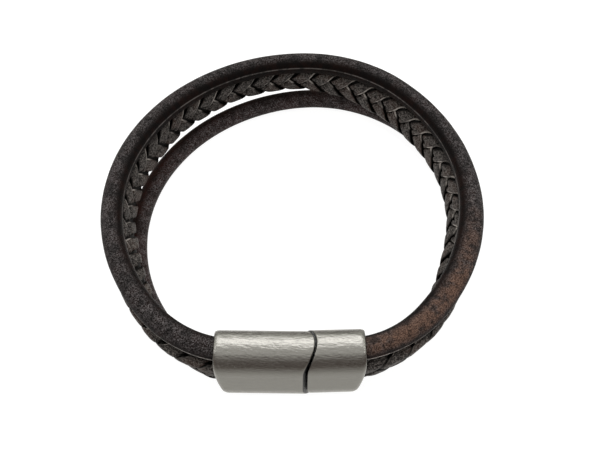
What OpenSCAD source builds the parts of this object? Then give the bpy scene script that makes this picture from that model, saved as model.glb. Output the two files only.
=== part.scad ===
// Leather bracelet with a magnetic clasp: two round leather cords with a flat braided strap
// between them, all three glued into the sockets of a two-part steel clasp.
// It lies on a table as it does when it is put down: the loop is level, the clasp is at the
// front, along X, and the wrist opening runs straight up. Lengths in mm, angles in degrees.
// The origin is on the table, at the middle of the loop.

/* [Cords] */
// Diameter of the upper round cord
cord_d = 4; // [3.7:0.1:4]
// Diameter of the lower round cord
low_cord_d = 3.7; // [3.5:0.1:3.8]

/* [Braided strap] */
// Width of the strap, from its upper edge to its foot
strap_w = 5.4; // [5:0.1:5.5]
// Thickness of the strap
strap_t = 2.2; // [1.8:0.1:2.3]

/* [Clasp] */
// Length of the closed clasp, where it is longest
clasp_len = 24.5; // [24:0.1:26]
// Height of the clasp
clasp_h = 14; // [13.9:0.1:14.4]
// Thickness of the clasp
clasp_t = 7.6; // [7.4:0.1:8]
// Wall left around the sockets
wall = 0.7; // [0.6:0.05:0.75]
// Depth of the socket in the left half
left_socket = 8.5; // [6:0.5:9]
// Depth of the socket in the right half
right_socket = 5.2; // [4:0.2:5.2]
// Radius of the seam's curve, seen from above
seam_r = 4.9; // [4.6:0.1:6]
// How far the nose of the left half reaches past the clasp's middle
seam_x = 4.1; // [3.8:0.1:4.3]
// Radius to which the ends are curved, seen from the front
end_curve = 30; // [26:1:40]
// Angle by which the right half is turned about the seam's axis
half_turn = 2.5; // [0:0.5:4]

/* [Magnets] */
// Diameter of the magnets
magnet_d = 6; // [4:0.2:6]
// Thickness of the magnets
magnet_t = 2; // [1:0.1:2]

/* [Loop] */
// Mean bend radius of the loop
loop_r = 34; // [33:0.5:36]
// How far the upper cord rises on its way from the clasp to the sides
upper_rise = 0.6; // [0.5:0.1:1]
// How much higher it stands at the back
back_rise = 0.15; // [0:0.05:0.4]

/* [Hidden] */
$fn = 96;

// Clearances: between the clasp halves, of a glued strand, and of a magnet in its pocket
seam_gap = 0.12;
strand_gap = 0.1;
pocket_gap = 0.05;

cord_r = cord_d / 2;
low_cord_r = low_cord_d / 2;
strap_r = strap_t / 2;
clasp_y = -31.2;
half_len = clasp_len / 2;
hole_w = clasp_t - 2 * wall;
hole_h = clasp_h - 2 * wall;
seam_axis = seam_x - seam_r;
// Height at which the ends reach farthest out
end_top_z = clasp_h - 2.5;

// A magnet's face lies just behind the seam
left_face = seam_axis + sqrt(pow(seam_r, 2) - pow(magnet_d / 2 + 0.1, 2)) - 0.1;
right_face = seam_x + seam_gap + 0.1;

// Height of the middle of the socket's upper and lower rounds
upper_round_z = clasp_h - wall - hole_w / 2;
lower_round_z = wall + hole_w / 2;

// A cord lies against its round, this far round from straight up or straight down
upper_seat = 5;
lower_seat = 40;
upper_room = hole_w / 2 - cord_r - strand_gap;
lower_room = hole_w / 2 - low_cord_r - strand_gap;
upper_y = upper_room * sin(upper_seat);
upper_z = upper_round_z + upper_room * cos(upper_seat);
lower_y = lower_room * sin(lower_seat);
lower_z = lower_round_z - lower_room * cos(lower_seat);

// Bends of the cords from the right half round to the left one.
// Columns: turn in degrees, radius as a share of loop_r, 0 where the loop's closing gives it.
upper_bends = [
    [14, 0.155], [34, 0.61], [88, 0], [44, 0.775], [132, 0], [34, 0.61], [14, 0.155]];
lower_bends = [
    [22.6, 0.174], [22.7, 0.99], [79.8, 0], [64.9, 0.779], [128.7, 0], [30.8, 0.354],
    [10.5, 0.176]];
// Where a cord starts to bend, in from the clasp's right and left end
upper_start = [0.15, 0.8];
lower_start = [1.9, 2.1];

// How the strap stands along the loop.
// Columns: share of the way round, swing of its upper edge about the cord, lean of the strap.
// Both are degrees from straight down, above 0 towards the wrist.
strap_rows = [
    [0.00, -34, 11], [0.03, -31, 17], [0.06, -26, 25], [0.09, -19, 43], [0.12, -8, 57],
    [0.15, 5, 50], [0.18, 15, 36], [0.22, 22, 22], [0.28, 22, 17], [0.34, 21, 19],
    [0.40, 14, 14], [0.45, 3, 2], [0.50, -6, -7], [0.55, -4, -5], [0.62, 4, 3],
    [0.70, 15, 13], [0.78, 18, 20], [0.82, 15, 35], [0.85, 4, 51], [0.88, -10, 62],
    [0.91, -15, 52], [0.94, -23, 38], [0.97, -32, 26], [1.00, -38, 10]];

// Share of the loop in which a cord leaves the clasp's height
rise_share = 0.2;
ring_gap = 2.6;
cord_sides = 12;
edge_sides = 5;

// Goes from 0 to 1 with level ends while u does
function ease(u) = (1 - cos(180 * max(0, min(1, u)))) / 2;

// Sum of a list's first n values
function sum(list, n) = n <= 0 ? 0 : list[n - 1] + sum(list, n - 1);

// Where a bend of radius 1 ends, from a start with heading h
function bend_end(h, turn) = [sin(h + turn) - sin(h), cos(h) - cos(h + turn)];

// A point of the right half, turned with it
function turned(x, y) =
    let (dx = x - seam_axis)
    [seam_axis + dx * cos(half_turn) - y * sin(half_turn),
     clasp_y + dx * sin(half_turn) + y * cos(half_turn)];

// The turns fill what the right half's own turn leaves of the full circle
function turns(bends) = [for (b = bends) b[0] * (360 - half_turn) / 360];
function headings(bends) = let (t = turns(bends)) [for (i = [0:len(t)]) half_turn + sum(t, i)];

// All radii of a loop from p to q. The two open ones solve the closing in x and y.
function radii(bends, p, q) =
    let (
        h = headings(bends),
        t = turns(bends),
        ends = [for (i = [0:len(bends) - 1]) bend_end(h[i], t[i])],
        open = [for (i = [0:len(bends) - 1]) if (bends[i][1] == 0) i],
        known_x = sum([for (i = [0:len(bends) - 1]) bends[i][1] * loop_r * ends[i].x], len(bends)),
        known_y = sum([for (i = [0:len(bends) - 1]) bends[i][1] * loop_r * ends[i].y], len(bends)),
        rest = q - p - [known_x, known_y],
        a = ends[open[0]],
        b = ends[open[1]],
        det = a.x * b.y - a.y * b.x,
        first = (rest.x * b.y - rest.y * b.x) / det,
        second = (a.x * rest.y - a.y * rest.x) / det
    )
    [for (i = [0:len(bends) - 1])
        i == open[0] ? first : i == open[1] ? second : bends[i][1] * loop_r];

// Stations of a strand that lies y from the clasp's middle.
// Each is [x, y, heading, share of the way round].
function stations(bends, start, y) =
    let (
        p = turned(half_len - start[0], y),
        q = [start[1] - half_len, clasp_y + y],
        r = radii(bends, p, q),
        t = turns(bends),
        h = headings(bends),
        lengths = [for (i = [0:len(r) - 1]) r[i] * t[i] * PI / 180],
        whole = sum(lengths, len(r)),
        spots_x = [for (i = [0:len(r)]) p.x
            + sum([for (k = [0:len(r) - 1]) r[k] * bend_end(h[k], t[k]).x], i)],
        spots_y = [for (i = [0:len(r)]) p.y
            + sum([for (k = [0:len(r) - 1]) r[k] * bend_end(h[k], t[k]).y], i)],
        floor_right = turned(half_len - right_socket + strand_gap, y),
        floor_left = [left_socket - half_len - strand_gap, clasp_y + y]
    )
    concat(
        [[floor_right.x, floor_right.y, half_turn, 0]],
        [for (i = [0:len(r) - 1])
            let (steps = max(3, ceil(lengths[i] / ring_gap)))
            for (k = [0:steps - 1])
                let (turn = t[i] * k / steps, e = bend_end(h[i], turn))
                [spots_x[i] + r[i] * e.x, spots_y[i] + r[i] * e.y, h[i] + turn,
                 (sum(lengths, i) + lengths[i] * k / steps) / whole]],
        [[q.x, q.y, 360, 1], [floor_left.x, floor_left.y, 360, 1]]
    );

function upper_height(s) =
    upper_z + upper_rise * ease(min(s, 1 - s) / rise_share) + back_rise * ease(2 * min(s, 1 - s));
function lower_height(s) =
    low_cord_r + (lower_z - low_cord_r) * (1 - ease(min(s, 1 - s) / rise_share));

// Column c of the strap's rows at share s
function strap_angle(s, c) =
    let (i = max([for (k = [0:len(strap_rows) - 2]) if (s >= strap_rows[k][0]) k]),
         a = strap_rows[i], b = strap_rows[i + 1])
    a[c] + (b[c] - a[c]) * ease((s - a[0]) / (b[0] - a[0]));

// A section's point at height z, out from the station, away from the wrist
function out_from(station, out, z) =
    [station.x + out * sin(station[2]), station.y - out * cos(station[2]), z];

function cord_ring(station, z, r) =
    [for (k = [0:cord_sides - 1])
        let (a = 360 * k / cord_sides) out_from(station, r * cos(a), z + r * sin(a))];

// The strap's section: two rounded edges, the upper one swung about the cord
function strap_ring(station) =
    let (
        s = station[3],
        swing = strap_angle(s, 1),
        lean = strap_angle(s, 2),
        reach = cord_r + strap_r + strand_gap,
        span = strap_w - strap_t,
        out = [-reach * sin(swing), -reach * sin(swing) - span * sin(lean)],
        z = [upper_height(s) - reach * cos(swing),
             upper_height(s) - reach * cos(swing) - span * cos(lean)]
    )
    [for (edge = [0:1]) for (k = [0:edge_sides])
        let (a = 180 * k / edge_sides + 180 * edge - lean)
        out_from(station, out[edge] + strap_r * cos(a), z[edge] + strap_r * sin(a))];

// Joins rings of points into one closed solid
module sweep(rings) {
    n = len(rings[0]);
    last = len(rings) - 1;
    sides = [for (i = [0:last - 1]) for (k = [0:n - 1])
        let (a = i * n + k, b = i * n + (k + 1) % n)
        for (face = [[a, b, b + n], [a, b + n, a + n]]) face];
    polyhedron(
        points = [for (ring = rings) for (p = ring) p],
        faces = concat(
            [[for (k = [0:n - 1]) n - 1 - k]],
            sides,
            [[for (k = [0:n - 1]) last * n + k]]));
}

// Upright outline with round ends
module upright(w, h) {
    square([w, h - w], center = true);
    for (end = [-1, 1])
        translate([0, end * (h - w) / 2]) circle(d = w);
}

// Bar with that outline, from x0 to x1
module bar(w, h, x0, x1) {
    translate([x0, clasp_y, clasp_h / 2]) rotate([90, 0, 90])
        linear_extrude(x1 - x0) upright(w, h);
}

// Outer form of one half, with its curved end. side is 1 on the right and -1 on the left.
module half_body(side) {
    x0 = side > 0 ? seam_axis : -half_len;
    x1 = side > 0 ? half_len : seam_x + 1;
    intersection() {
        bar(clasp_t, clasp_h, x0, x1);
        translate([side * (half_len - end_curve), clasp_y, end_top_z]) rotate([90, 0, 0])
            cylinder(h = 2 * clasp_t, r = end_curve, center = true, $fn = 360);
    }
}

// Upright cylinder about the seam's axis
module seam_post(r) {
    translate([seam_axis, clasp_y, -1]) cylinder(h = clasp_h + 2, r = r);
}

// Round pocket or magnet along X
module disc(x0, x1, d) {
    translate([x0, clasp_y, clasp_h / 2]) rotate([0, 90, 0]) cylinder(h = x1 - x0, d = d);
}

module turn_half() {
    translate([seam_axis, clasp_y, 0]) rotate([0, 0, half_turn])
        translate([-seam_axis, -clasp_y, 0]) children();
}

module clasp_half_left() {
    color([0.62, 0.6, 0.56])
    difference() {
        half_body(-1);
        difference() {
            translate([seam_axis, clasp_y - clasp_t, -1])
                cube([seam_r + 2, 2 * clasp_t, clasp_h + 2]);
            seam_post(seam_r);
        }
        bar(hole_w, hole_h, -half_len - 1, left_socket - half_len);
        disc(left_face - magnet_t - pocket_gap, seam_x + 1, magnet_d + 2 * pocket_gap);
    }
}

module clasp_half_right() {
    color([0.6, 0.58, 0.54])
    turn_half()
    difference() {
        half_body(1);
        seam_post(seam_r + seam_gap);
        bar(hole_w, hole_h, half_len - right_socket, half_len + 1);
        disc(seam_axis, right_face + magnet_t + pocket_gap, magnet_d + 2 * pocket_gap);
    }
}

module magnet_left() {
    color([0.75, 0.75, 0.77])
    disc(left_face - magnet_t, left_face, magnet_d);
}

module magnet_right() {
    color([0.75, 0.75, 0.77])
    turn_half()
    disc(right_face, right_face + magnet_t, magnet_d);
}

module top_cord() {
    color([0.14, 0.11, 0.1])
    sweep([for (s = stations(upper_bends, upper_start, upper_y))
        cord_ring(s, upper_height(s[3]), cord_r)]);
}

module braided_strap() {
    color([0.24, 0.22, 0.21])
    sweep([for (s = stations(upper_bends, upper_start, upper_y)) strap_ring(s)]);
}

module bottom_cord() {
    color([0.16, 0.1, 0.08])
    sweep([for (s = stations(lower_bends, lower_start, lower_y))
        cord_ring(s, lower_height(s[3]), low_cord_r)]);
}

clasp_half_left();
clasp_half_right();
magnet_left();
magnet_right();
top_cord();
braided_strap();
bottom_cord();
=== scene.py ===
"""Leather bracelet: two round cords and a flat braided strap in a two-part steel clasp.

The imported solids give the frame. Each strand is made again along the same route with its real
surface: grained round cords, a strap plaited from three flat laces, and brushed clasp halves with
rounded ends and a bevelled seam. Lengths are in metres, or in millimetres where a name ends in
_mm or _MM. Angles are in degrees until they are used.
"""

import math

import bmesh
import bpy
from mathutils import Matrix, Vector


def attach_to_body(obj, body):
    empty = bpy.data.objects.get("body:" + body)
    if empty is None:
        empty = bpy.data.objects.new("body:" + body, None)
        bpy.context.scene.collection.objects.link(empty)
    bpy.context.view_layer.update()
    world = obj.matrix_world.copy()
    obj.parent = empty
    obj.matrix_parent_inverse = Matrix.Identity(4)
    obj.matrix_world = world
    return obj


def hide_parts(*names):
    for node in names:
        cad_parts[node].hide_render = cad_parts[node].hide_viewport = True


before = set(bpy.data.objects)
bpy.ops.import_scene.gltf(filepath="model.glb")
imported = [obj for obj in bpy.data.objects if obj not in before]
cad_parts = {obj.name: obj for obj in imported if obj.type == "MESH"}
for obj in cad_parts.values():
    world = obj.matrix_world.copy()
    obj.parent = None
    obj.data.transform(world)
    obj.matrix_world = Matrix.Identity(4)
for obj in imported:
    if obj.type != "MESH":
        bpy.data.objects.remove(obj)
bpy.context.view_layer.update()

bl_info = {
    "name": "Leather Bracelet",
    "version": (1, 0, 0),
    "blender": (4, 5, 0),
    "location": "View3D > Sidebar > Bracelet",
    "description": "Cords, braided strap, magnetic clasp and a plain stage",
    "category": "Add Mesh",
}

MM = 0.001
BODY = "root"

# The photograph's frame and the camera that took it
PHOTO_WIDTH = 600
FOCAL_PIXELS = 998.6
SENSOR_WIDTH_MM = 36.0
CAMERA_MM = (2.04, -109.3, 153.85)
CAMERA_PITCH = 54.14
CAMERA_TURN = 0.378
CAMERA_ROLL = 0.344

# The loop's bends from the right half round to the left one.
# Columns: turn in degrees, radius as a share of the loop radius, 0 where the closing gives it.
UPPER_BENDS = [(14, 0.155), (34, 0.61), (88, 0), (44, 0.775), (132, 0), (34, 0.61), (14, 0.155)]
LOWER_BENDS = [
    (22.6, 0.174), (22.7, 0.99), (79.8, 0), (64.9, 0.779), (128.7, 0), (30.8, 0.354),
    (10.5, 0.176)]
UPPER_START_MM = (0.15, 0.8)
LOWER_START_MM = (1.9, 2.1)
RISE_SHARE = 0.2
ROUTE_STEP_MM = 0.4

# How the strap stands along the loop.
# Columns: share of the way round, swing of its upper edge about the cord, lean of the strap.
STRAP_ROWS = [
    (0.00, -34, 11), (0.03, -31, 17), (0.06, -26, 25), (0.09, -19, 43), (0.12, -8, 57),
    (0.15, 5, 50), (0.18, 15, 36), (0.22, 22, 22), (0.28, 22, 17), (0.34, 21, 19),
    (0.40, 14, 14), (0.45, 3, 2), (0.50, -6, -7), (0.55, -4, -5), (0.62, 4, 3),
    (0.70, 15, 13), (0.78, 18, 20), (0.82, 15, 35), (0.85, 4, 51), (0.88, -10, 62),
    (0.91, -15, 52), (0.94, -23, 38), (0.97, -32, 26), (1.00, -38, 10)]


# Sizes and colours that a user would change


def length(name, about, value_mm, low_mm, high_mm):
    """A length property, kept in metres."""
    return bpy.props.FloatProperty(
        name=name, description=about, default=value_mm * MM, min=low_mm * MM,
        max=high_mm * MM, unit="LENGTH", precision=5)


def colour(name, about, value):
    """A colour property without alpha."""
    return bpy.props.FloatVectorProperty(
        name=name, description=about, default=value, size=3, min=0, max=1, subtype="COLOR")


class BraceletSizes(bpy.types.PropertyGroup):
    """Sizes of the bracelet's pieces."""

    cord: length("Upper cord", "Diameter of the upper round cord", 4.0, 3.7, 4.0)
    low_cord: length("Lower cord", "Diameter of the lower round cord", 3.7, 3.5, 3.8)
    strap_width: length("Strap width", "From the strap's upper edge to its foot", 5.4, 5.0, 5.5)
    strap_thickness: length("Strap thickness", "Through all layers of laces", 2.2, 1.8, 2.3)
    lace_width: length("Lace width", "Width of one flat lace", 2.5, 2.0, 2.8)
    lace_thickness: length("Lace thickness", "Thickness of one flat lace", 0.5, 0.3, 0.6)
    lace_pitch: length("Lace pitch", "Distance between two laces of a row", 4.1, 3.0, 5.0)
    clasp_length: length("Clasp length", "Length of the closed clasp", 24.5, 24, 26)
    clasp_height: length("Clasp height", "Height of the clasp", 14.0, 13.9, 14.4)
    clasp_thickness: length("Clasp thickness", "Thickness of the clasp", 7.6, 7.4, 8.0)
    wall: length("Wall", "Wall around the clasp's sockets", 0.7, 0.6, 0.75)
    loop_radius: length("Loop radius", "Mean bend radius of the loop", 34.0, 33.0, 36.0)


class BraceletColours(bpy.types.PropertyGroup):
    """Colours of the bracelet's finishes."""

    cord_dark: colour("Dark cord", "Dye of the upper cord", (0.005, 0.0038, 0.0036))
    cord_worn: colour("Worn cord", "Where the dye has rubbed off", (0.19, 0.107, 0.074))
    cord_brown: colour("Brown cord", "Dye of the lower cord", (0.010, 0.0048, 0.0038))
    lace: colour("Lace", "Dye of the laces", (0.009, 0.0075, 0.007))
    lace_edge: colour("Lace edge", "Cut edge of the laces", (0.34, 0.31, 0.285))
    steel: colour("Steel", "The clasp's steel", (0.36, 0.352, 0.328))
    floor: colour("Floor", "The plain floor", (0.93, 0.93, 0.93))


# The route of the strands, seen from above


CLASP_Y_MM = -31.2
# The seam is an arc about an upright axis, and the right half is turned a little about that axis
SEAM_RADIUS_MM = 4.9
SEAM_REACH_MM = 4.1
SEAM_AXIS_MM = SEAM_REACH_MM - SEAM_RADIUS_MM
SEAM_GAP_MM = 0.12
HALF_TURN = 2.5
LEFT_SOCKET_MM = 8.5
RIGHT_SOCKET_MM = 5.2
STRAND_GAP_MM = 0.1
# Where the cords touch a socket's round ends, in degrees from upright, and how far they rise later
UPPER_SEAT = 5
LOWER_SEAT = 40
UPPER_RISE_MM = 0.6
BACK_RISE_MM = 0.15


def sizes():
    """The bracelet's size properties."""
    return bpy.context.scene.bracelet_sizes


def colours():
    """The bracelet's colour properties."""
    return bpy.context.scene.bracelet_colours


def in_mm(value):
    """A property's metres in millimetres."""
    return value / MM


def ease(u):
    """Goes from 0 to 1 with level ends while u does."""
    return (1 - math.cos(math.pi * max(0.0, min(1.0, u)))) / 2


def turned(x, y):
    """A point of the right half, turned with it about the seam's axis. y is from the clasp's middle."""
    angle = math.radians(HALF_TURN)
    dx = x - SEAM_AXIS_MM
    return (SEAM_AXIS_MM + dx * math.cos(angle) - y * math.sin(angle),
            CLASP_Y_MM + dx * math.sin(angle) + y * math.cos(angle))


def bend_end(heading, turn):
    """Where a bend of radius 1 ends."""
    return (math.sin(heading + turn) - math.sin(heading),
            math.cos(heading) - math.cos(heading + turn))


def loop_bends(bends, start_mm, y_mm):
    """Ends, radii, turns and headings of a loop. The two open radii solve the closing."""
    half = in_mm(sizes().clasp_length) / 2
    loop_radius = in_mm(sizes().loop_radius)
    turns = [math.radians(turn * (360 - HALF_TURN) / 360) for turn, _ in bends]
    headings = [math.radians(HALF_TURN) + sum(turns[:i]) for i in range(len(turns))]
    first = turned(half - start_mm[0], y_mm)
    last = (start_mm[1] - half, CLASP_Y_MM + y_mm)
    ends = [bend_end(h, t) for h, t in zip(headings, turns)]
    radii = [share * loop_radius for _, share in bends]
    rest = [last[k] - first[k] - sum(r * e[k] for r, e in zip(radii, ends)) for k in (0, 1)]
    open_a, open_b = [i for i, (_, share) in enumerate(bends) if share == 0]
    a, b = ends[open_a], ends[open_b]
    det = a[0] * b[1] - a[1] * b[0]
    radii[open_a] = (rest[0] * b[1] - rest[1] * b[0]) / det
    radii[open_b] = (a[0] * rest[1] - a[1] * rest[0]) / det
    return first, last, radii, turns, headings


def stations(bends, start_mm, y_mm):
    """Points of a strand from the right socket's floor round to the left one: x, y, share."""
    half = in_mm(sizes().clasp_length) / 2
    first, last, radii, turns, headings = loop_bends(bends, start_mm, y_mm)
    whole = sum(r * t for r, t in zip(radii, turns))
    floor = turned(half - RIGHT_SOCKET_MM + STRAND_GAP_MM, y_mm)
    found = straight(floor, first, 0.0)
    x, y = first
    gone = 0.0
    for radius, turn, heading in zip(radii, turns, headings):
        steps = max(3, math.ceil(radius * turn / ROUTE_STEP_MM))
        for k in range(steps):
            end = bend_end(heading, turn * k / steps)
            found.append((x + radius * end[0], y + radius * end[1],
                          (gone + radius * turn * k / steps) / whole))
        end = bend_end(heading, turn)
        x += radius * end[0]
        y += radius * end[1]
        gone += radius * turn
    floor = (LEFT_SOCKET_MM - half - STRAND_GAP_MM, CLASP_Y_MM + y_mm)
    return found + straight(last, floor, 1.0) + [(*floor, 1.0)]


def straight(start, end, share):
    """Points of a straight stretch, without its last one."""
    steps = max(2, math.ceil(math.dist(start, end) / ROUTE_STEP_MM))
    return [(start[0] + (end[0] - start[0]) * k / steps,
             start[1] + (end[1] - start[1]) * k / steps, share) for k in range(steps)]


def seats():
    """Places of the cords in a socket: depth and height of the upper one, then of the lower one."""
    room = in_mm(sizes().clasp_thickness) / 2 - in_mm(sizes().wall)
    up_play = room - in_mm(sizes().cord) / 2 - STRAND_GAP_MM
    low_play = room - in_mm(sizes().low_cord) / 2 - STRAND_GAP_MM
    top = in_mm(sizes().clasp_height) - in_mm(sizes().wall) - room
    low = in_mm(sizes().wall) + room
    up, down = math.radians(UPPER_SEAT), math.radians(LOWER_SEAT)
    return (up_play * math.sin(up), top + up_play * math.cos(up),
            low_play * math.sin(down), low - low_play * math.cos(down))


def upper_height(share):
    """Height of the upper cord's middle, at a share of the way round."""
    near = min(share, 1 - share)
    return seats()[1] + UPPER_RISE_MM * ease(near / RISE_SHARE) + BACK_RISE_MM * ease(2 * near)


def lower_height(share):
    """Height of the lower cord's middle. Away from the clasp the cord lies on the ground."""
    radius = in_mm(sizes().low_cord) / 2
    near = min(share, 1 - share)
    return radius + (seats()[3] - radius) * (1 - ease(near / RISE_SHARE))


def strap_angles(share):
    """Swing and lean of the strap in radians."""
    for low, high in zip(STRAP_ROWS[:-1], STRAP_ROWS[1:]):
        if share <= high[0]:
            break
    part = ease((share - low[0]) / (high[0] - low[0]))
    return [math.radians(low[k] + (high[k] - low[k]) * part) for k in (1, 2)]


def strap_hang(share):
    """Middle of the strap's section from the cord's middle, towards the wrist and up, and its lean."""
    swing, lean = strap_angles(share)
    reach = (in_mm(sizes().cord) + in_mm(sizes().strap_thickness)) / 2 + STRAND_GAP_MM
    half_span = (in_mm(sizes().strap_width) - in_mm(sizes().strap_thickness)) / 2
    return (reach * math.sin(swing) + half_span * math.sin(lean),
            -reach * math.cos(swing) - half_span * math.cos(lean), lean)


# Nodes written as expressions


class Wire:
    """One output of a node, so that sums on it read as sums."""

    def __init__(self, board, socket):
        self.board = board
        self.socket = socket

    def __add__(self, other):
        return self.board.math("ADD", self, other)

    def __radd__(self, other):
        return self.board.math("ADD", other, self)

    def __sub__(self, other):
        return self.board.math("SUBTRACT", self, other)

    def __rsub__(self, other):
        return self.board.math("SUBTRACT", other, self)

    def __mul__(self, other):
        return self.board.math("MULTIPLY", self, other)

    def __rmul__(self, other):
        return self.board.math("MULTIPLY", other, self)

    def __truediv__(self, other):
        return self.board.math("DIVIDE", self, other)

    def __rtruediv__(self, other):
        return self.board.math("DIVIDE", other, self)

    def __pow__(self, other):
        return self.board.math("POWER", self, other)

    def __rpow__(self, other):
        return self.board.math("POWER", other, self)

    def __abs__(self):
        return self.board.math("ABSOLUTE", self)


class Board:
    """Adds nodes to one tree and links them."""

    def __init__(self, tree):
        self.tree = tree

    def node(self, kind, settings=None, inputs=None):
        """A node of any kind. Its settings come first, then its sockets' values or links."""
        node = self.tree.nodes.new(kind)
        for name, value in (settings or {}).items():
            setattr(node, name, value)
        for key, value in (inputs or {}).items():
            if isinstance(value, Wire):
                self.tree.links.new(value.socket, node.inputs[key])
            else:
                node.inputs[key].default_value = value
        return node

    def wire(self, kind, settings=None, inputs=None, output=0):
        return Wire(self, self.node(kind, settings, inputs).outputs[output])

    def math(self, operation, *values):
        return self.wire("ShaderNodeMath", {"operation": operation}, dict(enumerate(values)))

    def vector(self, operation, *values):
        """Vector maths. SCALE takes its number last."""
        if operation == "SCALE":
            inputs = {0: values[0], 3: values[1]}
        else:
            inputs = dict(enumerate(values))
        return self.wire("ShaderNodeVectorMath", {"operation": operation}, inputs)

    def parts(self, vector):
        node = self.node("ShaderNodeSeparateXYZ", inputs={0: vector})
        return [Wire(self, socket) for socket in node.outputs]

    def combine(self, x, y, z):
        return self.wire("ShaderNodeCombineXYZ", inputs={0: x, 1: y, 2: z})

    def fit(self, value, low, high, new_low=0.0, new_high=1.0):
        """Value's range low to high, mapped smoothly to the new one."""
        return self.wire(
            "ShaderNodeMapRange", {"interpolation_type": "SMOOTHSTEP"},
            {0: value, 1: low, 2: high, 3: new_low, 4: new_high})

    def mix(self, factor, first, second):
        """Two colours mixed."""
        first, second = [c if isinstance(c, Wire) else (*c, 1) for c in (first, second)]
        return self.wire(
            "ShaderNodeMix", {"data_type": "RGBA"}, {0: factor, 6: first, 7: second}, 2)


# Geometry nodes for the strands


LACE_SEED_STEP = 3.7
# Noise stays well inside 0 to 1, so this times its distance from 0.5 gives about -1 to 1
NOISE_SPREAD = 3.0


class StrandTree(Board):
    """A geometry node tree that lays a straight bar along the route of its mesh."""

    def __init__(self, name, sockets):
        super().__init__(bpy.data.node_groups.new(name, "GeometryNodeTree"))
        face = self.tree.interface
        face.new_socket("Geometry", in_out="OUTPUT", socket_type="NodeSocketGeometry")
        face.new_socket("Geometry", in_out="INPUT", socket_type="NodeSocketGeometry")
        self.keys = {}
        for label, kind in sockets.items():
            socket = face.new_socket(label, in_out="INPUT", socket_type="NodeSocket" + kind)
            self.keys[label] = socket.identifier
        self.entry = self.node("NodeGroupInput")
        self.route = self.wire("GeometryNodeMeshToCurve", inputs={0: self.given("Geometry")})
        self.route_length = self.wire("GeometryNodeCurveLength", inputs={0: self.route})

    def given(self, label):
        return Wire(self, self.entry.outputs[label])

    def place(self):
        return self.wire("GeometryNodeInputPosition")

    def circle(self, sides):
        return self.wire("GeometryNodeCurvePrimitiveCircle",
                         inputs={"Resolution": sides, "Radius": 1.0})

    def bar(self, rings, profile):
        """A closed bar from x = 0 to 1 with that profile."""
        line = self.wire("GeometryNodeCurvePrimitiveLine", inputs={"End": (1, 0, 0)})
        line = self.wire("GeometryNodeResampleCurve", inputs={0: line, "Count": rings})
        return self.wire("GeometryNodeCurveToMesh",
                         inputs={"Curve": line, "Profile Curve": profile, "Fill Caps": True})

    def sampled(self, along, value=None):
        """Place, direction towards the wrist, and a stored vector of the route, at a length."""
        node = self.node("GeometryNodeSampleCurve", {"mode": "LENGTH", "data_type": "FLOAT_VECTOR"})
        self.tree.links.new(self.route.socket, node.inputs["Curves"])
        self.tree.links.new(along.socket, node.inputs["Length"])
        if value is not None:
            stored = self.node("GeometryNodeInputNamedAttribute",
                               {"data_type": "FLOAT_VECTOR"}, {"Name": value})
            self.tree.links.new(stored.outputs["Attribute"], node.inputs["Value"])
        tangent = Wire(self, node.outputs["Tangent"])
        inward = self.vector("NORMALIZE", self.vector("CROSS_PRODUCT", (0, 0, 1), tangent))
        return Wire(self, node.outputs["Position"]), inward, Wire(self, node.outputs["Value"])

    def hung(self, along, down, inner):
        """A point of the strap: how far along it, down across it, and out towards the wrist."""
        middle, inward, hang = self.sampled(along, "hang")
        shift_in, shift_up, lean = self.parts(hang)
        to_wrist = shift_in + down * self.math("SINE", lean) + inner * self.math("COSINE", lean)
        rise = shift_up - down * self.math("COSINE", lean) + inner * self.math("SINE", lean)
        spot = self.vector("ADD", middle, self.vector("SCALE", inward, to_wrist))
        return self.vector("ADD", spot, self.combine(0.0, 0.0, rise))

    def named(self, name):
        """A number stored on the points."""
        return self.wire("GeometryNodeInputNamedAttribute", {"data_type": "FLOAT"}, {"Name": name})

    def wander(self, along, number, shift):
        """A slow random course between about -1 and 1, different for each lace."""
        seed = self.given("Seed") + shift + number * LACE_SEED_STEP
        noise = self.wire("ShaderNodeTexNoise", {"noise_dimensions": "4D"},
                          {"Vector": self.combine(along, 0.0, 0.0), "W": seed, "Detail": 1.0,
                           "Scale": 1.0})
        return (noise - 0.5) * NOISE_SPREAD

    def laid(self, mesh, spot):
        """A mesh whose points are put where spot says."""
        return self.wire("GeometryNodeSetPosition", inputs={"Geometry": mesh, "Position": spot})

    def store(self, mesh, name, value):
        return self.wire("GeometryNodeStoreNamedAttribute", {"data_type": "FLOAT"},
                         {"Geometry": mesh, "Name": name, "Value": value})

    def finish(self, mesh):
        """Ends the tree."""
        mesh = self.wire("GeometryNodeRealizeInstances", inputs={0: mesh})
        mesh = self.wire("GeometryNodeSetShadeSmooth", inputs={0: mesh})
        mesh = self.wire("GeometryNodeSetMaterial",
                         inputs={"Geometry": mesh, "Material": self.given("Material")})
        self.node("NodeGroupOutput", inputs={0: mesh})
        return self


# Shares of a cord's length over which its pressed stretch begins, and over which it ends
PRESSED_FROM = (0.04, 0.1)
PRESSED_TO = (0.28, 0.18)
# How often a cord's thickness changes in a metre
WAVES_PER_METRE = 260.0


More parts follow.
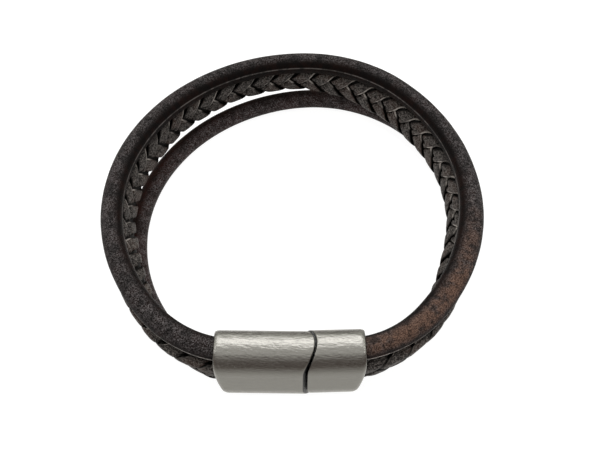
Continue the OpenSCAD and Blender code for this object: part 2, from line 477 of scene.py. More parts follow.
def cord_tree():
    """Round cord with a slightly uneven surface."""
    t = StrandTree("Round cord", {
        "Radius": "Float", "Rings": "Int", "Sides": "Int", "Unevenness": "Float",
        "Pressed": "Float", "Seed": "Float", "Material": "Material"})
    mesh = t.bar(t.given("Rings"), t.circle(t.given("Sides")))
    x, y, z = t.parts(t.place())
    angle = t.math("ARCTAN2", z, y)
    along = x * t.route_length
    mesh = t.store(mesh, "along", x)
    mesh = t.store(mesh, "around", angle)
    middle, inward, _ = t.sampled(along)
    spot = t.combine(along * WAVES_PER_METRE, t.math("COSINE", angle), t.math("SINE", angle))
    noise = t.wire("ShaderNodeTexNoise", {"noise_dimensions": "4D"},
                   {"Vector": spot, "W": t.given("Seed"), "Scale": 0.9, "Detail": 2.0})
    radius = t.given("Radius") * (1 - t.given("Unevenness") * noise)
    # The worn stretch near the start is pressed a little wider
    pressed = t.fit(x, *PRESSED_FROM) * t.fit(x, *PRESSED_TO) * t.given("Pressed")
    side = t.vector("SCALE", inward, radius * (1 + pressed) * t.math("COSINE", angle))
    up = t.combine(0.0, 0.0, radius * t.math("SINE", angle))
    return t.finish(t.laid(mesh, t.vector("ADD", middle, t.vector("ADD", side, up))))


# A lace's section is a rounded bar: the power turns a circle towards a rectangle
LACE_SIDES = 24
LACE_SQUARENESS = 0.45
LACES = 3
# Half the length on which a lace climbs from the outer layer to the inner one
CLIMB_MM = 0.4
# Room left at both ends of the strap
END_MARGIN_MM = 0.5
# Shares of a lace's width: at the cord, at the foot, added in the foot's fold, and at its start
WIDTH_AT_CORD = 1.07
WIDTH_AT_FOOT = 0.93
WIDTH_IN_FOLD = 0.1
WIDTH_AT_START = 0.84
# Where it changes: from the cord (-1) to the foot (1), the same for the fold, and on its own way
SLIM_OVER = (-0.2, 0.4)
FOLD_OVER = (0.6, 0.95)
START_OVER = (-0.75, -0.3)
# How much thinner a lace is at its edges, and where its bulge outwards turns into a dip
CROWN_FALL = 0.3
BULGE_TURN = 0.6
# How often a lace's place, width and height wander in a metre, and how much beside its place
PLACE_WAVES = 180.0
WIDTH_WAVES = 300.0
WIDTH_LOOSENESS = 0.9
HEIGHT_WAVES = 220.0
HEIGHT_LOOSENESS = 0.6
CORE_SIDES = 14
CORE_REACH = 0.9
CORE_DEPTH = 0.75
# How much further the strap's foot hangs, and the distances from the clasp over which it begins
FOOT_SAG = 0.13
SAG_FROM_MM = 3.0
SAG_FULL_MM = 18.0


class Plait:
    """Sizes of the plait, worked out in its tree.

    A lace runs round a loop about the strap's section: whole is that loop's length, flat the half
    length of its straight sides, layer its distance from the section's middle plane.
    """

    def __init__(self, t):
        half_depth = t.given("Thickness") / 2
        self.crown = t.given("Lace thickness") / 2
        self.layer = half_depth - self.crown
        self.flat = t.given("Width") / 2 - half_depth
        self.whole = 4 * self.flat + 2 * math.pi * self.layer
        self.climb = self.whole / (LACES * t.given("Pitch"))
        self.slant = t.math("SINE", t.math("ARCTANGENT", self.climb))


def sagging(t, down, s):
    """A depth across the strap, with the foot hung lower where the strap is free."""
    to_end = t.math("MINIMUM", s, t.route_length - s)
    more = t.fit(to_end, SAG_FROM_MM * MM, SAG_FULL_MM * MM, 0.0, FOOT_SAG)
    return down + more * t.math("MAXIMUM", down, 0.0)


def straight_laces(t):
    """The straight bars, told apart by their number, with each point's place in its section."""
    circle = t.wire("GeometryNodeTransform", inputs={
        0: t.circle(LACE_SIDES), "Rotation": (0, 0, math.pi / LACE_SIDES)})
    lace = t.bar(t.given("Rings"), circle)
    x, y, z = t.parts(t.place())
    lace = t.store(lace, "along", x)
    for name, value in (("across", y), ("depth", z)):
        squared = t.math("SIGN", value) * abs(value) ** LACE_SQUARENESS
        lace = t.store(lace, name, squared)
    spots = t.wire("GeometryNodePoints", inputs={"Count": LACES})
    spots = t.store(spots, "lace", t.wire("GeometryNodeInputIndex"))
    laces = t.wire("GeometryNodeInstanceOnPoints", inputs={"Points": spots, "Instance": lace})
    return t.wire("GeometryNodeRealizeInstances", inputs={0: laces})


def plaited(t, plait, laces):
    """The laces laid from edge to edge, over and under one another.

    m runs across one traverse: 0 at the strap's middle, and past its flat part round the folds.
    way is the direction of the traverse, and low is -1 at the cord and 1 at the foot.
    """
    number, x = t.named("lace"), t.named("along")
    across, depth = t.named("across"), t.named("depth")
    layer, flat, quarter = plait.layer, plait.flat, plait.whole / 4
    lace_half = t.given("Lace width") / 2
    margin = lace_half / plait.slant + END_MARGIN_MM * MM
    gone = x * plait.climb * (t.route_length - 2 * margin)
    travel = t.math("WRAP", gone + number * plait.whole / LACES, plait.whole, 0.0)
    way = 1 - 2 * t.math("GREATER_THAN", travel, plait.whole / 2)
    m = t.math("WRAP", travel, plait.whole / 2, 0.0) - quarter
    low = way * m / quarter

    # Its width: fuller at the cord, slimmer at the foot and where it starts outside
    loose = t.given("Looseness")
    pace = gone / plait.climb
    drift = loose * t.wander(pace * PLACE_WAVES, number, 0.0)
    thin = 1 - WIDTH_LOOSENESS * loose / lace_half * t.wander(pace * WIDTH_WAVES, number, 5.0)
    slim = t.fit(low, *SLIM_OVER, WIDTH_AT_CORD, WIDTH_AT_FOOT)
    slim = slim + t.fit(low, *FOLD_OVER, 0.0, WIDTH_IN_FOLD)
    slim = slim * t.fit(m / quarter, *START_OVER, WIDTH_AT_START, 1.0)
    aside = across * lace_half * thin * slim
    s = pace - aside / plait.slant + drift

    # It comes up through the middle on a short length, at the line where the laces meet
    since = (m - way * t.given("Meeting line")) / plait.slant - aside / plait.climb
    climbing = t.fit(since, -CLIMB_MM * MM, CLIMB_MM * MM, -math.pi / 2, math.pi / 2)
    level = t.math("SINE", climbing)
    reach = abs(m)
    bend = t.math("MAXIMUM", reach - flat, 0.0) / layer
    flat_part = t.math("MINIMUM", reach, flat)
    swell = t.given("Bulge") * (BULGE_TURN - flat_part * flat_part / (flat * flat))
    swell = swell + HEIGHT_LOOSENESS * loose * t.wander(pace * HEIGHT_WAVES, number, 9.0)
    crown = depth * plait.crown * (1 - CROWN_FALL * across * across)
    height = level * (layer + swell) + way * crown
    fold = abs(height) * t.math("SINE", bend)
    down = sagging(t, way * t.math("SIGN", m) * (flat_part + fold), s)
    inner = -1 * height * t.math("COSINE", bend)
    laces = t.store(laces, "level", level)
    laces = t.store(laces, "low", low)
    laces = t.laid(laces, t.hung(s + margin, down, inner))
    # Laying them against their section's direction turns them inside out, so they are turned back
    return t.wire("GeometryNodeFlipFaces", inputs={0: laces})


def shade_filling_core(t, plait):
    """An oval bar that fills the strap behind the gaps between the laces, in the laces' painted
    shade: a dark stand-in for the shade seen through the gaps.
    """
    core = t.bar(t.given("Core rings"), t.circle(CORE_SIDES))
    x, y, z = t.parts(t.place())
    # Level 0 gives the core the laces' painted shade
    core = t.store(core, "level", 0.0)
    s = x * t.route_length
    down = sagging(t, y * (plait.flat + CORE_REACH * plait.layer), s)
    return t.laid(core, t.hung(s, down, z * CORE_DEPTH * plait.layer))


def braid_tree():
    """Flat strap plaited from laces that run from edge to edge and fold round both edges.

    Each traverse starts in the outer layer, comes up through the middle and ends in the inner one.
    """
    t = StrandTree("Plaited strap", {
        "Width": "Float", "Thickness": "Float", "Lace width": "Float", "Lace thickness": "Float",
        "Pitch": "Float", "Meeting line": "Float", "Bulge": "Float", "Looseness": "Float",
        "Rings": "Int", "Core rings": "Int", "Seed": "Float", "Material": "Material"})
    plait = Plait(t)
    both = t.node("GeometryNodeJoinGeometry")
    for part in (shade_filling_core(t, plait), plaited(t, plait, straight_laces(t))):
        t.tree.links.new(part.socket, both.inputs[0])
    return t.finish(Wire(t, both.outputs[0]))


def route_object(name, bends, start_mm, y_mm, height):
    """A line of edges along a strand's middle, with the strap's hang stored at each point."""
    spots = stations(bends, start_mm, y_mm)
    mesh = bpy.data.meshes.new(name)
    mesh.from_pydata([(x * MM, y * MM, height(share) * MM) for x, y, share in spots],
                     [(i, i + 1) for i in range(len(spots) - 1)], [])
    hang = mesh.attributes.new("hang", "FLOAT_VECTOR", "POINT")
    for item, (_, _, share) in zip(hang.data, spots):
        to_wrist, up, lean = strap_hang(share)
        item.vector = (to_wrist * MM, up * MM, lean)
    return link(bpy.data.objects.new(name, mesh))


def link(obj):
    """Adds an object to the scene."""
    bpy.context.scene.collection.objects.link(obj)
    return obj


def grown(route, tree, values, name):
    """The tree's result on a route as a plain mesh object. The route is removed."""
    modifier = route.modifiers.new(tree.tree.name, "NODES")
    modifier.node_group = tree.tree
    for label, value in values.items():
        modifier[tree.keys[label]] = value
    return plain(route, name)


def plain(source, name):
    """A plain mesh object from an object with its modifiers. The source is removed."""
    bpy.context.view_layer.update()
    evaluated = source.evaluated_get(bpy.context.evaluated_depsgraph_get())
    mesh = bpy.data.meshes.new_from_object(evaluated)
    mesh.name = name
    source.modifiers.clear()
    bpy.data.objects.remove(source)
    return link(bpy.data.objects.new(name, mesh))


def attach(piece, node):
    """A finished piece stands for a node of the frame."""
    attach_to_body(piece, BODY)
    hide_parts(node)


# Finishes


# Pale grain specks, which stay on the cord's lit side as painted glints
PALE_GRAIN_AND_PAINTED_GLINT = (0.14, 0.128, 0.13)
# Pale lines painted along the cord's flanks as a reflection of the floor
PAINTED_RIM_REFLECTION = (0.4, 0.37, 0.35)
# The dye's warmer patches, as shares of its red, green and blue
WARM_SHARES = (2.0, 1.25, 1.05)
# Angles round the cord of its painted rim reflections, pale lines along both flanks: 0 points to the
# wrist, 90 up
INNER_RIM_ANGLE = 13
OUTER_RIM_ANGLE = -166
LACE_WARM = (0.03, 0.017, 0.013)
# Pale lace grain, gathered along the lace's middle as a painted sheen
LACE_GRAIN_AND_PAINTED_SHEEN = (0.145, 0.13, 0.12)
# Painted shade where a lace dives under the next, on its cut sides and on the core
LACE_PAINTED_SHADE = (0.003, 0.0025, 0.002)
# Painted shade inside the clasp's seam
SEAM_PAINTED_SHADE = (0.012, 0.012, 0.012)
NICKEL = (0.75, 0.75, 0.77)
LEATHER_SHINE = 0.05
LACE_SHINE = 0.1
# Heights between which the steel's ripples come in, on the clasp's round top
RIPPLES_FROM_MM = 12.2
RIPPLES_FULL_MM = 13.3
# Distances from the seam's middle at which its painted shade starts and is full
SEAM_SHADE_FROM_MM = 0.23
SEAM_SHADE_FULL_MM = 0.17


def material(name):
    """A new material, its board, its coordinates in millimetres, and its shader."""
    made = bpy.data.materials.new(name)
    made.use_nodes = True
    made.node_tree.nodes.clear()
    board = Board(made.node_tree)
    shader = board.node("ShaderNodeBsdfPrincipled")
    board.node("ShaderNodeOutputMaterial", inputs={0: Wire(board, shader.outputs[0])})
    place = board.wire("ShaderNodeTexCoord", output="Object")
    return made, board, board.vector("SCALE", place, 1 / MM), shader


def noise(board, place, scale, detail=2.0, roughness=0.5):
    return board.wire("ShaderNodeTexNoise", None, {
        "Vector": place, "Scale": scale, "Detail": detail, "Roughness": roughness})


def stored(board, name):
    """A number stored on the piece's points."""
    return board.wire("ShaderNodeAttribute", {"attribute_name": name}, output="Fac")


def feed(board, shader, **values):
    """Links or sets the shader's sockets, named with underscores."""
    for name, value in values.items():
        socket = shader.inputs[name.replace("_", " ")]
        if isinstance(value, Wire):
            board.tree.links.new(value.socket, socket)
        else:
            socket.default_value = value


def bumped(board, height, strength, distance_mm):
    return board.wire("ShaderNodeBump", None, {
        "Strength": strength, "Distance": distance_mm * MM, "Height": height})


def cord_finish(name, dye, worn, wear_level, lean, rim_reflection_level):
    """Round leather cord: mottled dye, fine pale grain, and dye rubbed off along one stretch. The
    grain's pale specks show only on a painted lit side, as painted glints, so its flanks read as
    painted shade.

    lean turns that painted lit side from the top (0) towards the wrist (above 0) or away from it,
    and the rim reflection level brings out a painted reflection of the floor: pale lines along
    both flanks.
    """
    made, b, place, shader = material(name)
    grain = noise(b, place, 3.8, 3.0, 0.75)
    fine = noise(b, place, 7.0, 2.0, 0.6)
    blotch = noise(b, place, 0.7, 3.0, 0.6)
    patches = noise(b, place, 0.16, 3.0, 0.55)
    grit = grain * 0.6 + fine * 0.4
    around = stored(b, "around")
    # Painted shade: only the lit side, turned by lean, keeps its pale specks; the flanks stay dark
    painted_lit_side = b.fit(b.math("SINE", around + lean), 0.35, 1.0)
    grain_and_painted_light_specks = b.fit(grit, 0.44, 0.61) * b.fit(blotch, 0.34, 0.6, 0.4, 1.0) * painted_lit_side
    along = stored(b, "along")
    rubbed = b.fit(along, 0.24, 0.12) * painted_lit_side * painted_lit_side * wear_level
    rubbed = rubbed * b.fit(patches + (blotch - 0.5) * 0.8, 0.4, 0.6, 0.2, 1.0)
    # Painted reflection: pale lines along both flanks, fainter at the back of the loop
    inner_line = b.fit(abs(around - math.radians(INNER_RIM_ANGLE)), 0.09, 0.04)
    outer_line = b.fit(abs(around - math.radians(OUTER_RIM_ANGLE)), 0.2, 0.12)
    outer_line = outer_line * b.fit(abs(along - 0.5), 0.2, 0.36, 0.3, 1.0)
    painted_rims = (inner_line * 0.25 + outer_line) * b.fit(blotch, 0.42, 0.56, 0.4, 1.0) * rim_reflection_level
    warm = tuple(c * f for c, f in zip(dye, WARM_SHARES))
    base = b.mix(b.fit(blotch * 0.6 + patches * 0.4, 0.42, 0.6), dye, warm)
    base = b.mix(grain_and_painted_light_specks, base, PALE_GRAIN_AND_PAINTED_GLINT)
    base = b.mix(rubbed * b.fit(grit, 0.42, 0.62, 0.2, 1.0), base, worn)
    base = b.mix(painted_rims, base, PAINTED_RIM_REFLECTION)
    rough = 0.36 + 0.2 * fine
    skin = bumped(b, grit + blotch * 0.35, 1.0, 0.2)
    feed(b, shader, Base_Color=base, Roughness=rough, Normal=skin, Specular_IOR_Level=LEATHER_SHINE)
    return made


def lace_finish():
    """Flat leather lace: dark face with a painted sheen along its middle, a pale worn edge on the
    cord's side, and painted shade on its sides and where it dives.
    """
    c = colours()
    made, b, place, shader = material("plaited lace")
    grain = noise(b, place, 2.8, 3.0, 0.7)
    fine = noise(b, place, 5.5, 2.0)
    blotch = noise(b, place, 0.7, 2.0)
    patches = noise(b, place, 0.14, 2.0)
    across = stored(b, "across")
    low = stored(b, "low")
    level = stored(b, "level")
    crest = b.fit(abs(level), 0.25, 0.8)
    grit = grain * 0.6 + fine * 0.4
    edge = b.fit(across, 0.78, 0.86) * b.fit(low, 0.15, -0.1) * b.fit(blotch, 0.4, 0.6, 0.25, 1.0)
    edge = edge * b.fit(level, -0.5, 0.5, 1.0, 0.3)
    side = b.fit(abs(across), 0.9, 0.97)
    middle = b.fit(abs(across), 0.95, 0.6, 0.12, 1.0)
    warm = b.fit(patches + (blotch - 0.5) * 0.6, 0.45, 0.62)
    face = b.mix(warm, tuple(c.lace), LACE_WARM)
    # Painted sheen: the pale grain gathers along the lace's middle and fades towards its edges
    face = b.mix(b.fit(grit, 0.42, 0.62) * middle, face, LACE_GRAIN_AND_PAINTED_SHEEN)
    # Painted shade: near black where the lace dives under the next and on its cut sides
    base = b.mix(crest * (1 - side), LACE_PAINTED_SHADE, face)
    base = b.mix(edge * b.fit(crest, 0.0, 0.4), base, tuple(c.lace_edge))
    rough = 0.35 + 0.2 * grain
    skin = bumped(b, grit + blotch * 0.4, 0.9, 0.14)
    feed(b, shader, Base_Color=base, Roughness=rough, Normal=skin, Specular_IOR_Level=LACE_SHINE)
    return made


def steel_finish():
    """Tumbled steel with soft ripples along it, fine marks, and painted shade inside the seam."""
    made, b, place, shader = material("brushed steel")
    x, y, z = b.parts(place)
    ripple = noise(b, b.combine(x * 0.5 + y * 0.3, y, z), 1.3, 2.0, 0.6)
    scratch = noise(b, b.combine(x * 0.22, y * 2.4, z * 2.4), 3.2, 3.0, 0.7)
    speck = noise(b, place, 4.5, 2.0, 0.6)
    rough = 0.15 + 0.12 * scratch + 0.06 * speck
    from_axis = b.math("SQRT", (x - SEAM_AXIS_MM) ** 2 + (y - CLASP_Y_MM) ** 2)
    off_seam = abs(from_axis - SEAM_RADIUS_MM - 0.5 * SEAM_GAP_MM)
    in_seam = b.fit(off_seam, SEAM_SHADE_FROM_MM, SEAM_SHADE_FULL_MM) * b.math("GREATER_THAN", x, SEAM_AXIS_MM)
    rounded = b.fit(z, RIPPLES_FROM_MM, RIPPLES_FULL_MM, 0.2, 1.0)
    skin = bumped(b, ripple * rounded * 0.7 + scratch * 0.2 + speck * 0.1, 1.0, 0.19)
    steel = tuple(colours().steel)
    base = b.mix(b.fit(speck, 0.4, 0.7) * 0.35, steel, tuple(0.85 * v for v in steel))
    # Painted shade inside the seam's gap
    base = b.mix(in_seam, base, SEAM_PAINTED_SHADE)
    feed(b, shader, Base_Color=base, Metallic=1.0, Roughness=rough, Normal=skin)
    return made


def magnet_finish():
    """Bright plating on the hidden magnets."""
    made, b, place, shader = material("plated magnet")
    rough = 0.16 + 0.1 * noise(b, place, 2.0)
    feed(b, shader, Base_Color=(*NICKEL, 1), Metallic=1.0, Roughness=rough)
    return made


# The clasp


# The rounded free ends, the bevel along the seam, and how far each of its faces is drawn back
FILLET_IN_MM = 0.5
FILLET_ALONG_MM = 0.85
BEVEL_MM = 0.24
SEAM_OPEN_MM = 0.09
# How much taller the round ends of the section are than half circles
OVAL = 0.2
LIP_MM = 0.1
# A free end curves with this radius, about a point this far below the clasp's top
END_RADIUS_MM = 30.0
END_DROP_MM = 2.5
# The magnet pockets: skin is the least steel between a magnet and the seam
MAGNET_MM = 6.0
MAGNET_DEEP_MM = 2.0
MAGNET_SKIN_MM = 0.1
POCKET_GAP_MM = 0.05
POCKET_SIDES = 64
# Steps of the shell: round an end of the section, along its flat, and over each part of its length
ARC_STEPS = 28
FLAT_STEPS = 12
BEVEL_STEPS = 4
BODY_STEPS = 22
FILLET_STEPS = 8
LIP_STEPS = 3
SHARP_ANGLE = 38
# Points closer than this are one: in the shell, and once its pocket is cut
MERGE_MM = 0.0005
POCKET_MERGE_MM = 0.002


def section_outline():
    """Points round the clasp's section: place on its flat length, from -1 to 1, and outward way."""
    points = []
    for top in (1, -1):
        start = 0.0 if top > 0 else math.pi
        for k in range(ARC_STEPS + 1):
            angle = start + math.pi * k / ARC_STEPS
            points.append((top, math.cos(angle), math.sin(angle)))
        points += [(top * (1 - 2 * k / FLAT_STEPS), -top, 0.0) for k in range(1, FLAT_STEPS)]
    return points


def section_point(inset, spot):
    """Depth and height of a point of the section, inset from its outside. The outside is oval."""
    share, ny, nz = spot
    tall = in_mm(sizes().clasp_height) / 2
    reach = in_mm(sizes().clasp_thickness) / 2 - inset
    oval = 1 + OVAL * max(0.0, 1 - inset / in_mm(sizes().wall))
    flat = tall - inset - oval * reach
    return reach * ny, tall + share * flat + oval * reach * nz


def seam_face(side):
    """x of the seam at depth y, from the clasp's middle."""
    radius = SEAM_RADIUS_MM + (SEAM_GAP_MM + SEAM_OPEN_MM if side > 0 else -SEAM_OPEN_MM)
    return lambda y: SEAM_AXIS_MM + math.sqrt(radius ** 2 - y ** 2)


def end_face(side):
    """x of the curved end at height z."""
    middle = in_mm(sizes().clasp_length) / 2 - END_RADIUS_MM
    centre_z = in_mm(sizes().clasp_height) - END_DROP_MM
    return lambda z: side * (middle + math.sqrt(END_RADIUS_MM ** 2 - (z - centre_z) ** 2))


def quarter_turn(steps):
    """Angles from 0 to a right angle in equal steps."""
    return [math.pi / 2 * k / steps for k in range(steps + 1)]


def half_rings(side):
    """Rings of one half, from the middle of the seam out, along, over the end and into the socket.

    Each is a function of a point's depth and height that gives x, and the ring's inset.
    """
    half = in_mm(sizes().clasp_thickness) / 2
    wall = in_mm(sizes().wall)
    seam, end = seam_face(side), end_face(side)
    socket = RIGHT_SOCKET_MM if side > 0 else LEFT_SOCKET_MM
    floor = side * (in_mm(sizes().clasp_length) / 2 - socket)
    rings = [(half * share, lambda y, z: seam(y)) for share in (1, 0.8, 0.6, 0.4, 0.2)]
    for a in quarter_turn(BEVEL_STEPS):
        back = BEVEL_MM * (1 - math.cos(a))
        rings.append((BEVEL_MM * (1 - math.sin(a)), lambda y, z, d=back: seam(y) + side * d))
    for k in range(1, BODY_STEPS):
        rings.append((0.0, lambda y, z, u=k / BODY_STEPS:
                      (seam(y) + side * BEVEL_MM) * (1 - u) + (end(z) - side * FILLET_ALONG_MM) * u))
    for a in quarter_turn(FILLET_STEPS):
        rings.append((FILLET_IN_MM * (1 - math.cos(a)),
                      lambda y, z, d=FILLET_ALONG_MM * (1 - math.sin(a)): end(z) - side * d))
    for a in quarter_turn(LIP_STEPS):
        rings.append((wall - LIP_MM * (1 - math.sin(a)),
                      lambda y, z, d=LIP_MM * (1 - math.cos(a)): end(z) - side * d))
    for share in (0.33, 0.66, 1.0):
        rings.append((wall, lambda y, z, u=share:
                      (end(z) - side * LIP_MM) * (1 - u) + floor * u))
    rings += [(wall + (half - wall) * share, lambda y, z: floor) for share in (0.35, 0.7, 1.0)]
    return rings


def merged(shell, distance):
    """Joins a shell's points that lie within the distance, and takes out faces without area."""
    bmesh.ops.remove_doubles(shell, verts=shell.verts, dist=distance)
    bmesh.ops.dissolve_degenerate(shell, edges=shell.edges, dist=distance)


def half_shell(side, name):
    """A mesh of one half's rings, closed at the seam and at the socket's floor."""
    outline = section_outline()
    shell = bmesh.new()
    rings = []
    for inset, x_at in half_rings(side):
        ring = []
        for spot in outline:
            y, z = section_point(inset, spot)
            ring.append(shell.verts.new((x_at(y, z), CLASP_Y_MM + y, z)))
        rings.append(ring)
    count = len(outline)
    for first, second in zip(rings[:-1], rings[1:]):
        for k in range(count):
            n = (k + 1) % count
            shell.faces.new((first[k], first[n], second[n], second[k]))
    merged(shell, MERGE_MM)
    bmesh.ops.recalc_face_normals(shell, faces=shell.faces)
    bmesh.ops.scale(shell, vec=(MM, MM, MM), verts=shell.verts)
    mesh = bpy.data.meshes.new(name)
    shell.to_mesh(mesh)
    shell.free()
    return mesh


def clasp_half(side):
    """One half with rounded edges, its socket and its magnet pocket."""
    name = "clasp_right" if side > 0 else "clasp_left"
    body = link(bpy.data.objects.new(name + "_body", half_shell(side, name)))
    cutter = pocket(side, in_mm(sizes().clasp_height) / 2)
    cut = body.modifiers.new("Pocket", "BOOLEAN")
    cut.operation = "DIFFERENCE"
    cut.solver = "EXACT"
    cut.object = cutter
    piece = plain(body, name)
    bpy.data.objects.remove(cutter)
    # The cut leaves a few points almost on top of one another
    clean = bmesh.new()
    clean.from_mesh(piece.data)
    merged(clean, POCKET_MERGE_MM * MM)
    clean.to_mesh(piece.data)
    clean.free()
    if side > 0:
        pivot = Vector((SEAM_AXIS_MM * MM, CLASP_Y_MM * MM, 0))
        turn = Matrix.Translation(pivot) @ Matrix.Rotation(math.radians(HALF_TURN), 4, "Z")
        piece.data.transform(turn @ Matrix.Translation(-pivot))
    return piece


def pocket(side, mid_z):
    """A round cutter for one magnet pocket, open to the seam."""
    nose = math.sqrt(SEAM_RADIUS_MM ** 2 - (MAGNET_MM / 2 + MAGNET_SKIN_MM) ** 2)
    if side > 0:
        low = SEAM_AXIS_MM
        high = SEAM_REACH_MM + SEAM_GAP_MM + MAGNET_SKIN_MM + MAGNET_DEEP_MM + POCKET_GAP_MM
    else:
        low = SEAM_AXIS_MM + nose - MAGNET_SKIN_MM - MAGNET_DEEP_MM - POCKET_GAP_MM
        high = SEAM_REACH_MM + 1
    cutter = bmesh.new()
    spin = Matrix.Translation(((low + high) / 2 * MM, CLASP_Y_MM * MM, mid_z * MM))
    radius = (MAGNET_MM / 2 + POCKET_GAP_MM) * MM
    bmesh.ops.create_cone(
        cutter, cap_ends=True, segments=POCKET_SIDES, radius1=radius, radius2=radius,
        depth=(high - low) * MM, matrix=spin @ Matrix.Rotation(math.pi / 2, 4, "Y"))
    mesh = bpy.data.meshes.new("pocket")
    cutter.to_mesh(mesh)
    cutter.free()
    return link(bpy.data.objects.new("pocket", mesh))


# The operators


class BRACELET_OT_cords(bpy.types.Operator):
    """Add the upper and the lower round cord"""

    bl_idname = "bracelet.cords"
    bl_label = "Add the round cords"

    def execute(self, context):
        s, c = sizes(), colours()
        tree = cord_tree()
        upper_y, _, lower_y, _ = seats()
        worn = tuple(c.cord_worn)
        # lean turns each cord's painted lit side; the brown cord's outer flank is painted dark, as in
        # the strap's shadow
        dark = cord_finish("dark cord leather", tuple(c.cord_dark), worn,
                           wear_level=1.0, lean=-0.4, rim_reflection_level=1.0)
        brown = cord_finish("brown cord leather", tuple(c.cord_brown), worn,
                            wear_level=0.0, lean=1.0, rim_reflection_level=0.0)
        # Columns: name, node, slot, finish, diameter, how much it is pressed, seed, route
        made = (
            ("cord_upper", "top_cord", "cord_dark", dark, s.cord, 0.16, 3.0,
             (UPPER_BENDS, UPPER_START_MM, upper_y, upper_height)),
            ("cord_lower", "bottom_cord", "cord_brown", brown, s.low_cord, 0.0, 8.0,
             (LOWER_BENDS, LOWER_START_MM, lower_y, lower_height)))
        for name, node, slot, finish, width, pressed, seed, route in made:
            line = route_object(name + "_route", *route)
            values = {"Radius": width / 2, "Rings": 640, "Sides": 48, "Unevenness": 0.05,
                      "Pressed": pressed, "Seed": seed, "Material": finish}
            attach(grown(line, tree, values, name), node)
        return {"FINISHED"}


class BRACELET_OT_strap(bpy.types.Operator):
    """Add the strap of three plaited laces"""

    bl_idname = "bracelet.strap"
    bl_label = "Add the braided strap"

    def execute(self, context):
        s = sizes()
        upper_y = seats()[0]
        line = route_object("strap_route", UPPER_BENDS, UPPER_START_MM, upper_y, upper_height)
        values = {"Width": s.strap_width, "Thickness": s.strap_thickness,
                  "Lace width": s.lace_width, "Lace thickness": s.lace_thickness,
                  "Pitch": s.lace_pitch, "Meeting line": -0.12 * MM, "Bulge": 0.1 * MM,
                  "Looseness": 0.09 * MM, "Rings": 1250, "Core rings": 400, "Seed": 5.0,
                  "Material": lace_finish()}
        attach(grown(line, braid_tree(), values, "braided_laces"), "braided_strap")
        return {"FINISHED"}


class BRACELET_OT_clasp(bpy.types.Operator):
    """Add both halves of the steel clasp and finish its magnets"""

    bl_idname = "bracelet.clasp"
    bl_label = "Add the clasp"

    def execute(self, context):
        steel = steel_finish()
        for side, node in ((-1, "clasp_half_left"), (1, "clasp_half_right")):
            piece = clasp_half(side)
            piece.data.materials.clear()
            piece.data.materials.append(steel)
            piece.data.shade_smooth()
            piece.data.set_sharp_from_angle(angle=math.radians(SHARP_ANGLE))
            attach(piece, node)
        plating = magnet_finish()
        for node in ("magnet_left", "magnet_right"):
            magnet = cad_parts[node]
            magnet.data.materials.clear()
            magnet.data.materials.append(plating)
        return {"FINISHED"}


class BRACELET_OT_stage(bpy.types.Operator):
    """Add the camera, the floor and the lights"""

    bl_idname = "bracelet.stage"
    bl_label = "Add the stage"

    def execute(self, context):
        add_camera()
        add_floor()
        add_lights()
        return {"FINISHED"}


def add_camera():
    """The photograph's camera, as it was solved from the cords and the clasp."""
    bpy.context.scene.view_settings.view_transform = "Standard"
    data = bpy.data.cameras.new("camera")
    data.sensor_fit = "HORIZONTAL"
    data.sensor_width = SENSOR_WIDTH_MM
    data.lens = FOCAL_PIXELS * SENSOR_WIDTH_MM / PHOTO_WIDTH
    data.clip_start = 0.01
    camera = link(bpy.data.objects.new("camera", data))
    camera.location = Vector(CAMERA_MM) * MM
    # A camera looks down at rest; it is rolled, tipped up to the pitch, then turned
    turn = Matrix.Rotation(math.radians(CAMERA_TURN), 3, "Z")
    tip = Matrix.Rotation(math.radians(90 - CAMERA_PITCH), 3, "X")
    roll = Matrix.Rotation(math.radians(CAMERA_ROLL), 3, "Z")
    camera.rotation_euler = (turn @ tip @ roll).to_euler()
    bpy.context.scene.camera = camera


FLOOR_REACH = 1.5
# Share of its colour with which the floor takes the lamps' light, besides its own glow
FLOOR_LIT = 0.25


def add_floor():
    """A pale, glowing floor, which stays out of the steel's mirror images."""
    made, b, _, shader = material("pale floor")
    pale = tuple(colours().floor)
    lit = tuple(FLOOR_LIT * v for v in pale)
    feed(b, shader, Base_Color=(*lit, 1), Roughness=0.9, Specular_IOR_Level=0.1,
         Emission_Color=(*pale, 1), Emission_Strength=1.0)
    mesh = bpy.data.meshes.new("floor")
    corners = [(x * FLOOR_REACH, y * FLOOR_REACH, 0.0) for x, y in ((-1, -1), (1, -1), (1, 1), (-1, 1))]
    mesh.from_pydata(corners, [], [(0, 1, 2, 3)])
    mesh.materials.append(made)
    piece = link(bpy.data.objects.new("floor", mesh))
    piece.visible_glossy = False


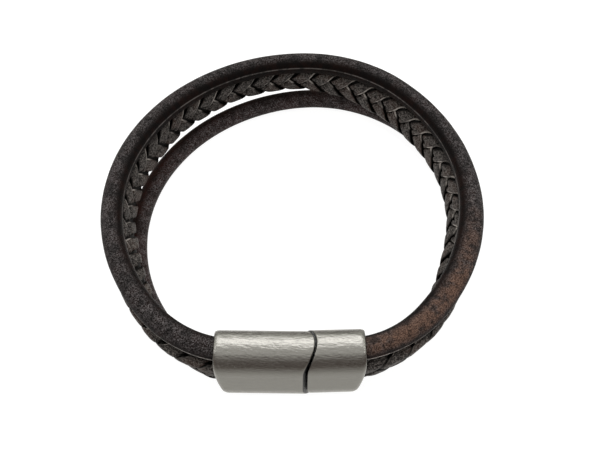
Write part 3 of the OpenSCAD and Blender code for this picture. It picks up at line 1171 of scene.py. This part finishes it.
def add_lights():
    """Three soft lamps, and a pale room for the steel to mirror."""
    # Columns: name, place, width and depth in metres, brightness; all face the bracelet
    rows = (
        ("top_light", (0.0, 0.42, 0.79), (0.9, 0.72), 1.75),
        ("left_light", (-0.75, -0.1, 0.45), (0.35, 0.3), 1.8),
        ("right_light", (0.75, -0.1, 0.45), (0.35, 0.3), 1.8))
    for name, spot, size, bright in rows:
        data = bpy.data.lights.new(name, "AREA")
        data.shape = "RECTANGLE"
        data.size, data.size_y = size
        data.energy = bright * math.pi * size[0] * size[1]
        lamp = link(bpy.data.objects.new(name, data))
        lamp.location = spot
        lamp.rotation_euler = (-Vector(spot)).to_track_quat("-Z", "Y").to_euler()
    world = bpy.context.scene.world or bpy.data.worlds.new("room")
    bpy.context.scene.world = world
    world.use_nodes = True
    world.node_tree.nodes.clear()
    b = Board(world.node_tree)
    _, depth, height = b.parts(b.wire("ShaderNodeTexCoord", output="Generated"))
    rear = b.fit(depth, -0.6, 0.6)
    far_below = b.mix(rear, (0.60, 0.59, 0.56), (1.15, 1.14, 1.10))
    below = b.mix(b.fit(height, -0.2, -0.75), (0.10, 0.076, 0.065), far_below)
    level = b.mix(rear, (0.20, 0.18, 0.168), (0.85, 0.85, 0.79))
    tint = b.mix(b.fit(height, -0.12, 0.12), below, level)
    tint = b.mix(b.fit(height, 0.1, 0.95), tint, (0.82, 0.81, 0.78))
    sky = b.node("ShaderNodeBackground", inputs={0: tint, 1: 1.0})
    b.node("ShaderNodeOutputWorld", inputs={0: Wire(b, sky.outputs[0])})


class BRACELET_PT_panel(bpy.types.Panel):
    """Sizes, colours and the steps that make the bracelet"""

    bl_idname = "BRACELET_PT_panel"
    bl_label = "Leather Bracelet"
    bl_space_type = "VIEW_3D"
    bl_region_type = "UI"
    bl_category = "Bracelet"

    def draw(self, context):
        for group in (sizes(), colours()):
            box = self.layout.box()
            for name in group.__annotations__:
                box.prop(group, name)
        for step in STEPS:
            self.layout.operator(step.bl_idname)


STEPS = (BRACELET_OT_stage, BRACELET_OT_cords, BRACELET_OT_strap, BRACELET_OT_clasp)
CLASSES = (BraceletSizes, BraceletColours, *STEPS, BRACELET_PT_panel)


def register():
    for cls in CLASSES:
        bpy.utils.register_class(cls)
    bpy.types.Scene.bracelet_sizes = bpy.props.PointerProperty(type=BraceletSizes)
    bpy.types.Scene.bracelet_colours = bpy.props.PointerProperty(type=BraceletColours)


def unregister():
    del bpy.types.Scene.bracelet_colours
    del bpy.types.Scene.bracelet_sizes
    for cls in reversed(CLASSES):
        bpy.utils.unregister_class(cls)


def main():
    """Makes the stage and every piece."""
    register()
    bpy.ops.bracelet.stage()
    bpy.ops.bracelet.cords()
    bpy.ops.bracelet.strap()
    bpy.ops.bracelet.clasp()


if __name__ == "__main__":
    main()
